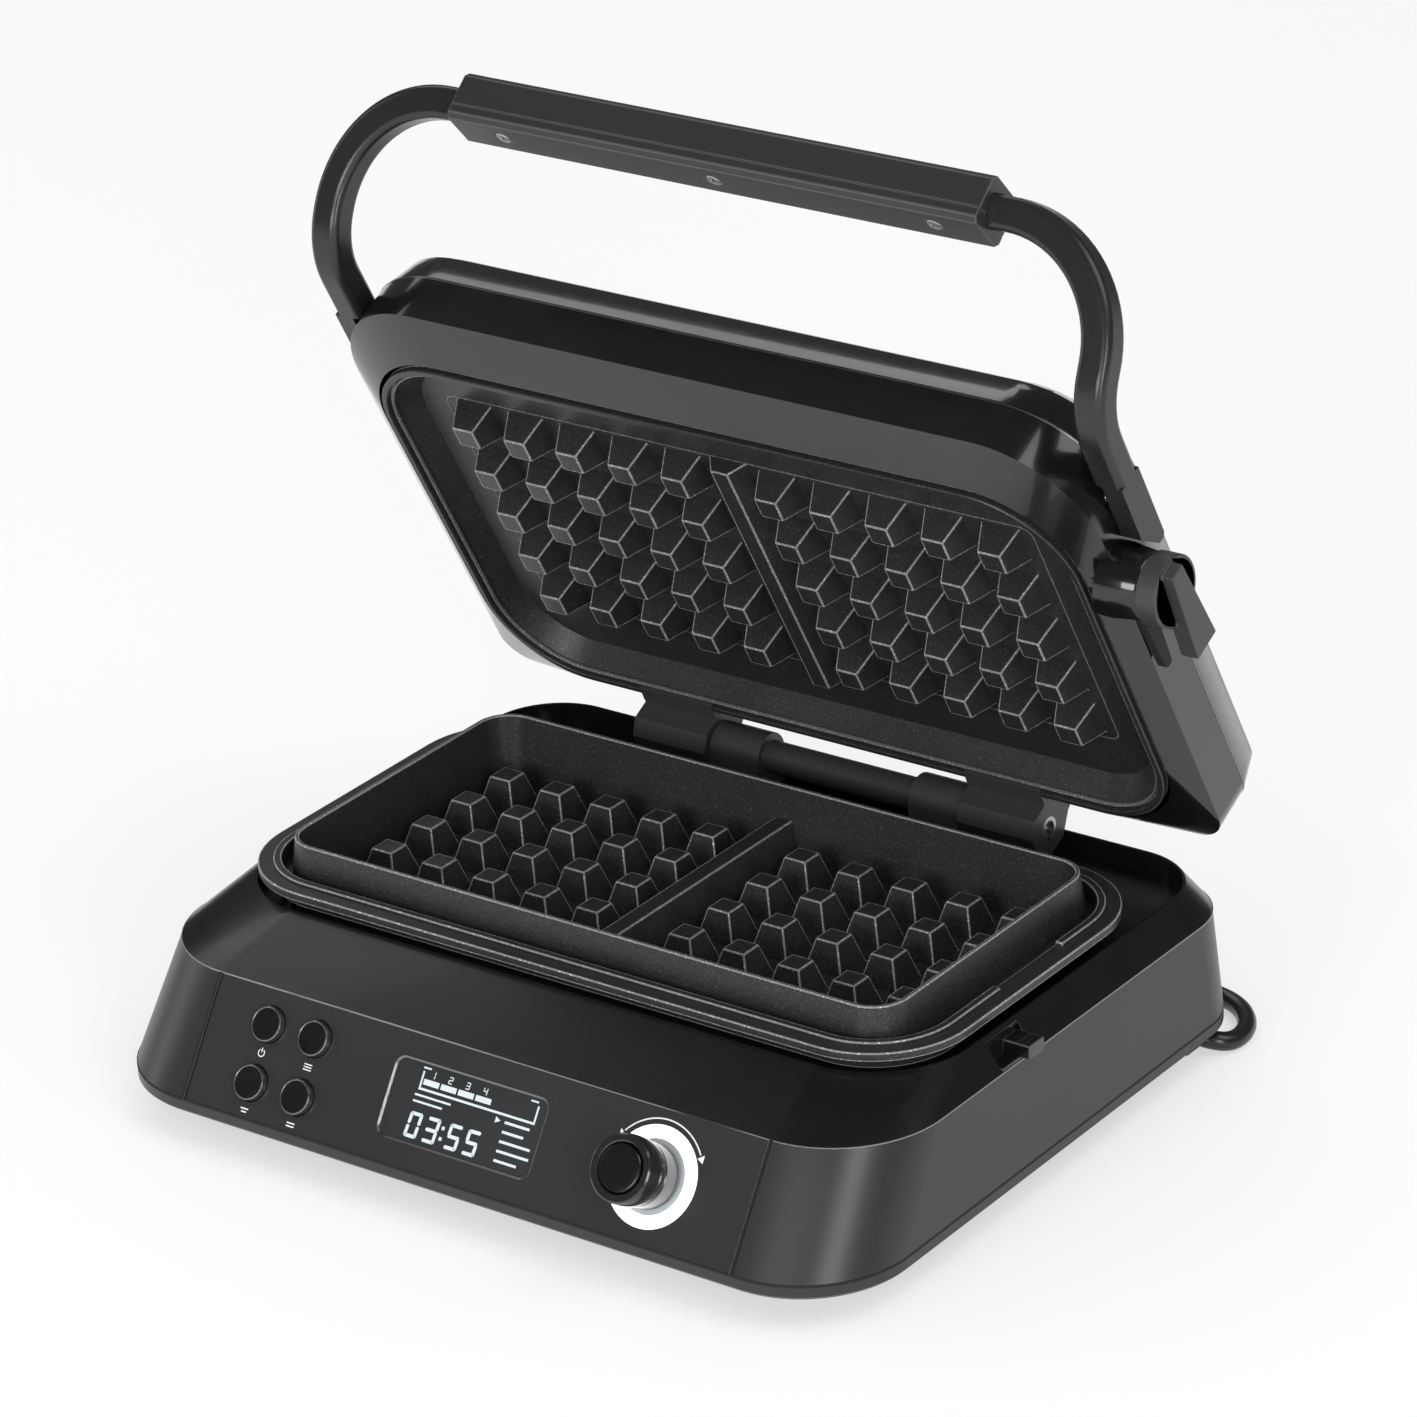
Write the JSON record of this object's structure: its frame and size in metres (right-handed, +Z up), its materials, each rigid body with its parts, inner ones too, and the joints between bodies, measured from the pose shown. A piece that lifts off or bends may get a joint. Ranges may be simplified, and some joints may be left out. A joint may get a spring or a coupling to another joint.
{
  "type": "waffle maker",
  "caption": "Countertop electric waffle maker with a hinged lid, deep rectangular waffle plates, a bar handle, a side lock and a sloping control panel with buttons, display and dial.",
  "frame": {"origin": "floor level under the middle of the base casing's footprint", "axes": "+Z up, the control panel faces -Y, the lock side is +X"},
  "size_m": [0.3498, 0.3618, 0.3369],
  "materials": {
    "satin_charcoal": "satin moulded charcoal",
    "gloss_black": "glossy black shell",
    "rubber": "soft black rubber",
    "steel": "bright steel",
    "non_stick": "cast aluminium with dark non-stick coating",
    "element": "sheathed heating tube",
    "galvanised": "galvanised sheet",
    "ceramic": "fired ceramic",
    "dark_steel": "satin black coated steel",
    "brass": "turned brass",
    "grip_plastic": "fine textured grip",
    "display_glass": "dark display glass",
    "part_black": "moulded component",
    "light_white": "glowing diffuser",
    "board_green": "circuit board",
    "cord_rubber": "shiny black flex"
  },
  "bodies": {
    "base": {"bottom_tray": "satin_charcoal", "side_casing": "satin_charcoal", "control_panel": "satin_charcoal", "top_deck": "gloss_black", "lid_catch": "gloss_black", "front_feet": "rubber", "rear_feet": "rubber", "base_screws": "steel", "lower_plate": "non_stick", "lower_heating_element": "element", "lower_heat_shield": "galvanised", "lower_thermostat": "ceramic", "thermal_fuse": "ceramic", "hinge_barrel": "dark_steel", "hinge_pin": "steel", "display_window": "display_glass", "display_module": "part_black", "light_ring": "light_white", "dial_encoder": "part_black", "control_board": "board_green", "button_switches": "part_black", "power_board": "board_green", "power_relays": "part_black", "terminal_block": "ceramic", "cord_guide": "satin_charcoal", "strain_relief": "cord_rubber", "power_cord": "cord_rubber", "cord_coil": "cord_rubber", "cord_tie": "rubber", "plug_body": "part_black", "plug_pins": "brass"},
    "lid": {"lid_skirt": "gloss_black", "lid_cover": "gloss_black", "upper_plate": "non_stick", "upper_heating_element": "element", "upper_heat_shield": "galvanised", "upper_thermostat": "ceramic", "hinge_knuckle_left": "gloss_black", "hinge_knuckle_right": "gloss_black", "knuckle_bushes": "brass", "knuckle_screws": "steel", "handle_bar": "dark_steel", "grip_outer": "grip_plastic", "grip_inner": "grip_plastic", "grip_screws": "steel", "handle_bracket_left": "dark_steel", "handle_bracket_right": "dark_steel", "bracket_screws": "steel", "lock_pivot": "steel"},
    "lock": {"lock_knob": "gloss_black", "lock_lever": "dark_steel"},
    "dial": {"dial_knob": "gloss_black"},
    "start": {"start_button": "gloss_black"},
    "button_upper_left_cap": {"button_upper_left": "gloss_black"},
    "button_upper_right_cap": {"button_upper_right": "gloss_black"},
    "button_lower_left_cap": {"button_lower_left": "gloss_black"},
    "button_lower_right_cap": {"button_lower_right": "gloss_black"}
  },
  "joints": [
    {"name": "lid_hinge", "type": "hinge", "parent": "base", "child": "lid", "pos_m": [0, 0.1103, 0.0711], "axis": [-1, 0, 0], "range_deg": [-62.1, 30]},
    {"name": "lock_turn", "type": "hinge", "parent": "lid", "child": "lock", "pos_m": [0.16, 0.05329, 0.20442], "axis": [-1, 0, 0], "range_deg": [0, 50]},
    {"name": "dial_turn", "type": "hinge", "parent": "base", "child": "dial", "pos_m": [0.0775, -0.1155, 0.03575], "axis": [0, -0.8287, 0.5597], "range_deg": [-135, 135]},
    {"name": "start_press", "type": "slide", "parent": "dial", "child": "start", "axis": [0, 0.8287, -0.5597], "range_m": [0, 0.0012], "stiffness_N_per_m": 1500},
    {"name": "button_upper_left_press", "type": "slide", "parent": "base", "child": "button_upper_left_cap", "axis": [0, 0.8287, -0.5597], "range_m": [0, 0.0012], "stiffness_N_per_m": 1500},
    {"name": "button_upper_right_press", "type": "slide", "parent": "base", "child": "button_upper_right_cap", "axis": [0, 0.8287, -0.5597], "range_m": [0, 0.0012], "stiffness_N_per_m": 1500},
    {"name": "button_lower_left_press", "type": "slide", "parent": "base", "child": "button_lower_left_cap", "axis": [0, 0.8287, -0.5597], "range_m": [0, 0.0012], "stiffness_N_per_m": 1500},
    {"name": "button_lower_right_press", "type": "slide", "parent": "base", "child": "button_lower_right_cap", "axis": [0, 0.8287, -0.5597], "range_m": [0, 0.0012], "stiffness_N_per_m": 1500}
  ]
}
